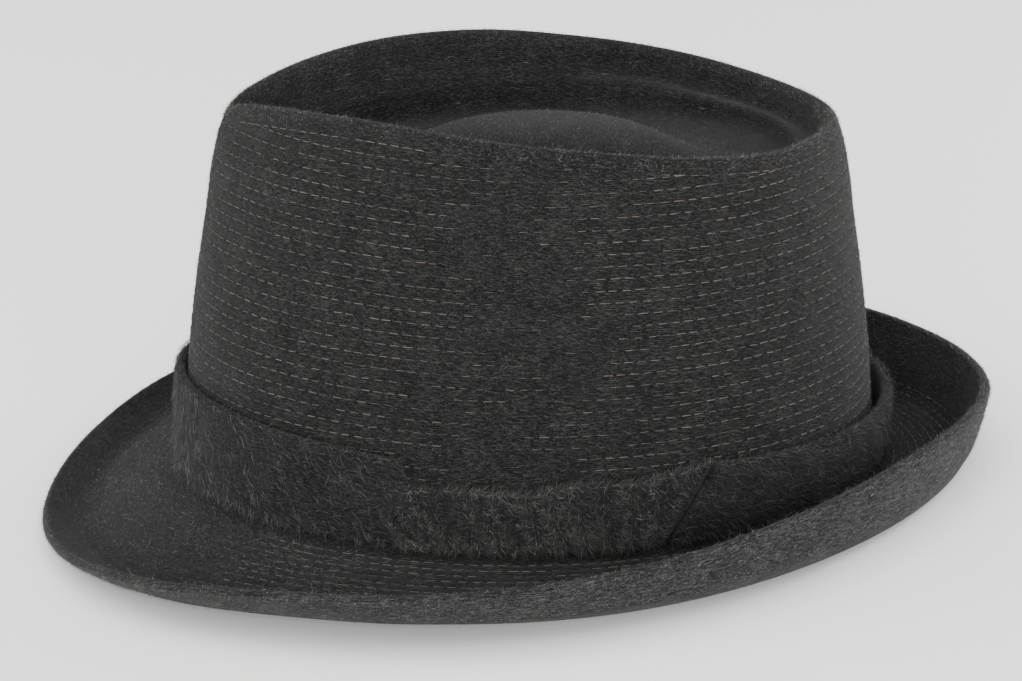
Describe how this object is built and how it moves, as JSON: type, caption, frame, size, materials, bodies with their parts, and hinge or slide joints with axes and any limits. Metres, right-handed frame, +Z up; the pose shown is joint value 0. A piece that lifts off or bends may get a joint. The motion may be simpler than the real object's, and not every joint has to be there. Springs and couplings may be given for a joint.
{
  "type": "felt fedora hat",
  "caption": "Dark grey long-nap felt fedora with a teardrop crown, upturned brim lip, felt band and a shaggy tab at the band's ends; worn on the head.",
  "frame": {"origin": "bottom centre of the whole hat, on the surface it lies on", "axes": "+Z up, -Y toward the front of the hat, +X toward the wearer's left"},
  "size_m": [0.2524, 0.2826, 0.1262],
  "materials": {
    "hood_felt": "long-nap wool felt, matt, rows of running stitch",
    "band_felt": "brushed felt, matt, nap combed down and back",
    "tab_felt": "curly long-haired felt, matt"
  },
  "bodies": {
    "root": {"hood": "hood_felt", "hat_band": "band_felt", "band_tab": "tab_felt"}
  },
  "joints": []
}
